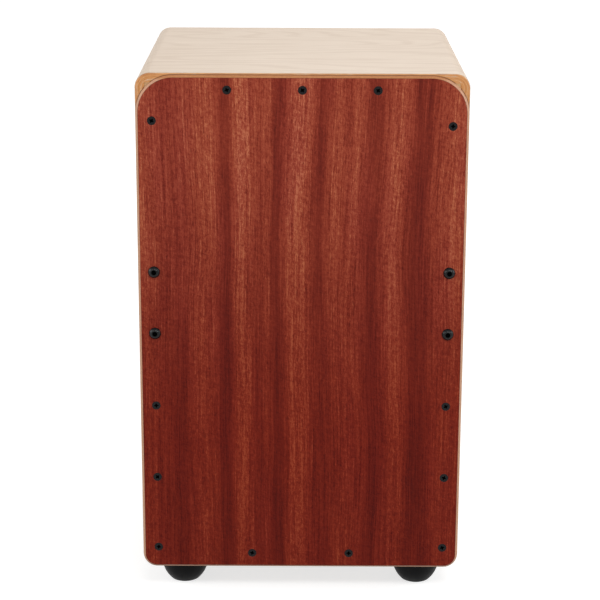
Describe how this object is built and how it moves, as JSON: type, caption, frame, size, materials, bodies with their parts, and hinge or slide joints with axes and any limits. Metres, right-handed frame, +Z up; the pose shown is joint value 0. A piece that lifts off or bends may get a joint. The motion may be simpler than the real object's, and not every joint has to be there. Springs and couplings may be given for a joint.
{
  "type": "box drum",
  "caption": "Cajon box drum with a thin screwed front plate, rounded plywood shell, rear sound hole, rubber feet and tunable inner strings.",
  "frame": {"origin": "on the floor under the middle of the whole part, so that the feet stand at z = 0", "axes": "+Z up; +Y to the back, out of the sound hole; +X to the right as the front plate is seen; the front plate faces -Y"},
  "size_m": [0.3, 0.3032, 0.5],
  "materials": {
    "birch_ply": "clear satin lacquer over birch plywood, ply edges showing",
    "front_veneer": "red-brown ribbon-striped veneer, satin lacquer, bevelled pale edge",
    "raw_wood": "unfinished planed wood",
    "black_steel": "black oxide",
    "plated_steel": "zinc plated",
    "string_steel": "wound steel string",
    "brass": "machined",
    "felt": "grey needled felt",
    "foot_rubber": "satin black rubber"
  },
  "bodies": {
    "cabinet": {"front_plate": "front_veneer", "top_panel": "birch_ply", "bottom_panel": "birch_ply", "left_panel": "birch_ply", "right_panel": "birch_ply", "back_panel": "birch_ply", "front_rail_top": "raw_wood", "front_rail_bottom": "raw_wood", "front_rail_left": "raw_wood", "front_rail_right": "raw_wood", "rear_rail_top": "raw_wood", "rear_rail_bottom": "raw_wood", "rear_rail_left": "raw_wood", "rear_rail_right": "raw_wood", "batten_top_left": "raw_wood", "batten_top_right": "raw_wood", "batten_bottom_left": "raw_wood", "batten_bottom_right": "raw_wood", "front_plate_screws": "black_steel", "back_panel_screws": "black_steel", "crossbar": "raw_wood", "crossbar_felt": "felt", "end_plate_left": "plated_steel", "end_plate_right": "plated_steel", "end_plate_screws": "plated_steel", "crossbar_bolts": "black_steel", "crossbar_nuts": "plated_steel", "string_anchor_left": "plated_steel", "string_anchor_right": "plated_steel", "string_anchor_screws": "plated_steel", "strings_left": "string_steel", "strings_right": "string_steel", "tuning_screw_washers": "plated_steel", "foot_front_left": "foot_rubber", "foot_front_right": "foot_rubber", "foot_rear_left": "foot_rubber", "foot_rear_right": "foot_rubber", "foot_screws": "plated_steel", "foot_washers": "plated_steel"},
    "carriage_left": {"carriage_left": "brass"},
    "carriage_right": {"carriage_right": "brass"},
    "tuner_left": {"tuning_screw_left": "black_steel", "stop_nut_left": "plated_steel"},
    "tuner_right": {"tuning_screw_right": "black_steel", "stop_nut_right": "plated_steel"}
  },
  "joints": [
    {"name": "tuning_screw_left_turn", "type": "hinge", "parent": "cabinet", "child": "tuner_left", "pos_m": [-0.028, -0.13635, 0.033], "axis": [0, 0, 1], "range_deg": [-3601, 2251]},
    {"name": "carriage_left_slide", "type": "slide", "parent": "cabinet", "child": "carriage_left", "axis": [0, 0, 1], "range_m": [-0.005, 0.008], "deforming": ["strings_left"]},
    {"name": "tuning_screw_right_turn", "type": "hinge", "parent": "cabinet", "child": "tuner_right", "pos_m": [0.028, -0.13635, 0.033], "axis": [0, 0, 1], "range_deg": [-3601, 2251]},
    {"name": "carriage_right_slide", "type": "slide", "parent": "cabinet", "child": "carriage_right", "axis": [0, 0, 1], "range_m": [-0.005, 0.008], "deforming": ["strings_right"]}
  ],
  "couplings": [
    {"joint": "tuning_screw_left_turn", "follows": "carriage_left_slide", "rad_per_m": -7854},
    {"joint": "tuning_screw_right_turn", "follows": "carriage_right_slide", "rad_per_m": -7854}
  ]
}
